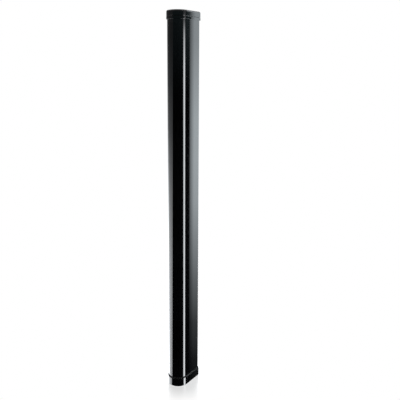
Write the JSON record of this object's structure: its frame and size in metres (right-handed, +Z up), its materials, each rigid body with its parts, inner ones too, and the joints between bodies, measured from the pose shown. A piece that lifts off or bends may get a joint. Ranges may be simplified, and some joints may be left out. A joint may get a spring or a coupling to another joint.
{
  "type": "column loudspeaker",
  "caption": "Slim upright column loudspeaker with a half-round perforated nose, flat sides, stepped end caps, rear terminals and a tap selector.",
  "frame": {"origin": "middle of the footprint, on the surface that the rubber feet stand on", "axes": "+Z up along the column, the rounded front towards -Y, the terminals at the back towards +Y"},
  "size_m": [0.0564, 0.0944, 1],
  "materials": {
    "lacquered_aluminium": "extruded, mirror-gloss black lacquer",
    "grille_metal": "gloss black, finely perforated",
    "acoustic_cloth": "open black weave",
    "black_rubber": "matt black",
    "foam": "open-cell dark grey foam",
    "baffle_metal": "black anodised",
    "basket_steel": "satin black on pressed steel",
    "plated_steel": "zinc plated",
    "magnet_ferrite": "dull dark grey",
    "cone_paper": "black treated paper",
    "spider_cloth": "resin-stiffened cloth",
    "cast_zinc": "gloss black lacquer on a casting",
    "black_plastic": "fine-grained moulding",
    "knob_plastic": "satin moulding with a filled white pointer",
    "terminal_plastic": "glass-filled nylon",
    "black_oxide_steel": "black oxide",
    "insert_steel": "zinc plated, knurled",
    "insert_brass": "turned",
    "lamination_steel": "stacked laminations, varnished",
    "copper_winding": "enamelled winding under tape",
    "board_laminate": "green solder mask",
    "capacitor_film": "boxed film capacitors",
    "wire_insulation": "PVC"
  },
  "bodies": {
    "column": {"baffle_channel": "baffle_metal", "base_feet": "black_rubber", "board_standoffs": "plated_steel", "bottom_cap": "cast_zinc", "bottom_end_plate": "plated_steel", "bottom_screws": "plated_steel", "bracket_inserts": "insert_steel", "bus_wires": "wire_insulation", "cup_screws": "black_oxide_steel", "damping_foam": "foam", "driver_baskets": "basket_steel", "driver_gaskets": "foam", "driver_magnets": "magnet_ferrite", "driver_screws": "black_oxide_steel", "driver_spiders": "spider_cloth", "driver_surrounds": "black_rubber", "driver_top_plates": "plated_steel", "driver_yokes": "plated_steel", "end_seals": "black_rubber", "filter_board": "board_laminate", "filter_capacitors": "capacitor_film", "filter_inductor": "copper_winding", "front_grille": "grille_metal", "grille_cloth": "acoustic_cloth", "grille_seal_strips": "foam", "housing_extrusion": "lacquered_aluminium", "input_terminal": "terminal_plastic", "link_terminal": "terminal_plastic", "stand_insert": "insert_brass", "tap_switch_body": "terminal_plastic", "tap_switch_nut": "plated_steel", "terminal_cup": "black_plastic", "terminal_screws": "plated_steel", "terminal_section": "lacquered_aluminium", "top_cap": "cast_zinc", "top_cap_set_screws": "black_oxide_steel", "top_collar": "lacquered_aluminium", "top_plate_screws": "plated_steel", "top_plug_plate": "black_plastic", "transformer_bracket": "plated_steel", "transformer_coil": "copper_winding", "transformer_core": "lamination_steel"},
    "cone_01": {"driver_01_cone": "cone_paper"},
    "cone_02": {"driver_02_cone": "cone_paper"},
    "cone_03": {"driver_03_cone": "cone_paper"},
    "cone_04": {"driver_04_cone": "cone_paper"},
    "cone_05": {"driver_05_cone": "cone_paper"},
    "cone_06": {"driver_06_cone": "cone_paper"},
    "cone_07": {"driver_07_cone": "cone_paper"},
    "cone_08": {"driver_08_cone": "cone_paper"},
    "cone_09": {"driver_09_cone": "cone_paper"},
    "cone_10": {"driver_10_cone": "cone_paper"},
    "cone_11": {"driver_11_cone": "cone_paper"},
    "cone_12": {"driver_12_cone": "cone_paper"},
    "cone_13": {"driver_13_cone": "cone_paper"},
    "cone_14": {"driver_14_cone": "cone_paper"},
    "cone_15": {"driver_15_cone": "cone_paper"},
    "cone_16": {"driver_16_cone": "cone_paper"},
    "tap_selector": {"tap_shaft": "plated_steel", "tap_knob": "knob_plastic"}
  },
  "joints": [
    {"name": "cone_01_travel", "type": "slide", "parent": "column", "child": "cone_01", "axis": [0, -1, 0], "range_m": [-0.0015, 0.0015], "stiffness_N_per_m": 700, "deforming": ["driver_surrounds", "driver_spiders"]},
    {"name": "cone_02_travel", "type": "slide", "parent": "column", "child": "cone_02", "axis": [0, -1, 0], "range_m": [-0.0015, 0.0015], "stiffness_N_per_m": 700},
    {"name": "cone_03_travel", "type": "slide", "parent": "column", "child": "cone_03", "axis": [0, -1, 0], "range_m": [-0.0015, 0.0015], "stiffness_N_per_m": 700},
    {"name": "cone_04_travel", "type": "slide", "parent": "column", "child": "cone_04", "axis": [0, -1, 0], "range_m": [-0.0015, 0.0015], "stiffness_N_per_m": 700},
    {"name": "cone_05_travel", "type": "slide", "parent": "column", "child": "cone_05", "axis": [0, -1, 0], "range_m": [-0.0015, 0.0015], "stiffness_N_per_m": 700},
    {"name": "cone_06_travel", "type": "slide", "parent": "column", "child": "cone_06", "axis": [0, -1, 0], "range_m": [-0.0015, 0.0015], "stiffness_N_per_m": 700},
    {"name": "cone_07_travel", "type": "slide", "parent": "column", "child": "cone_07", "axis": [0, -1, 0], "range_m": [-0.0015, 0.0015], "stiffness_N_per_m": 700},
    {"name": "cone_08_travel", "type": "slide", "parent": "column", "child": "cone_08", "axis": [0, -1, 0], "range_m": [-0.0015, 0.0015], "stiffness_N_per_m": 700},
    {"name": "cone_09_travel", "type": "slide", "parent": "column", "child": "cone_09", "axis": [0, -1, 0], "range_m": [-0.0015, 0.0015], "stiffness_N_per_m": 700},
    {"name": "cone_10_travel", "type": "slide", "parent": "column", "child": "cone_10", "axis": [0, -1, 0], "range_m": [-0.0015, 0.0015], "stiffness_N_per_m": 700},
    {"name": "cone_11_travel", "type": "slide", "parent": "column", "child": "cone_11", "axis": [0, -1, 0], "range_m": [-0.0015, 0.0015], "stiffness_N_per_m": 700},
    {"name": "cone_12_travel", "type": "slide", "parent": "column", "child": "cone_12", "axis": [0, -1, 0], "range_m": [-0.0015, 0.0015], "stiffness_N_per_m": 700},
    {"name": "cone_13_travel", "type": "slide", "parent": "column", "child": "cone_13", "axis": [0, -1, 0], "range_m": [-0.0015, 0.0015], "stiffness_N_per_m": 700},
    {"name": "cone_14_travel", "type": "slide", "parent": "column", "child": "cone_14", "axis": [0, -1, 0], "range_m": [-0.0015, 0.0015], "stiffness_N_per_m": 700},
    {"name": "cone_15_travel", "type": "slide", "parent": "column", "child": "cone_15", "axis": [0, -1, 0], "range_m": [-0.0015, 0.0015], "stiffness_N_per_m": 700},
    {"name": "cone_16_travel", "type": "slide", "parent": "column", "child": "cone_16", "axis": [0, -1, 0], "range_m": [-0.0015, 0.0015], "stiffness_N_per_m": 700},
    {"name": "tap_turn", "type": "hinge", "parent": "column", "child": "tap_selector", "pos_m": [0, 0.04, 0.13], "axis": [0, -1, 0], "range_deg": [0, 150]}
  ],
  "couplings": [
    {"joint": "cone_02_travel", "follows": "cone_01_travel", "ratio": 1},
    {"joint": "cone_03_travel", "follows": "cone_01_travel", "ratio": 1},
    {"joint": "cone_04_travel", "follows": "cone_01_travel", "ratio": 1},
    {"joint": "cone_05_travel", "follows": "cone_01_travel", "ratio": 1},
    {"joint": "cone_06_travel", "follows": "cone_01_travel", "ratio": 1},
    {"joint": "cone_07_travel", "follows": "cone_01_travel", "ratio": 1},
    {"joint": "cone_08_travel", "follows": "cone_01_travel", "ratio": 1},
    {"joint": "cone_09_travel", "follows": "cone_01_travel", "ratio": 1},
    {"joint": "cone_10_travel", "follows": "cone_01_travel", "ratio": 1},
    {"joint": "cone_11_travel", "follows": "cone_01_travel", "ratio": 1},
    {"joint": "cone_12_travel", "follows": "cone_01_travel", "ratio": 1},
    {"joint": "cone_13_travel", "follows": "cone_01_travel", "ratio": 1},
    {"joint": "cone_14_travel", "follows": "cone_01_travel", "ratio": 1},
    {"joint": "cone_15_travel", "follows": "cone_01_travel", "ratio": 1},
    {"joint": "cone_16_travel", "follows": "cone_01_travel", "ratio": 1}
  ]
}
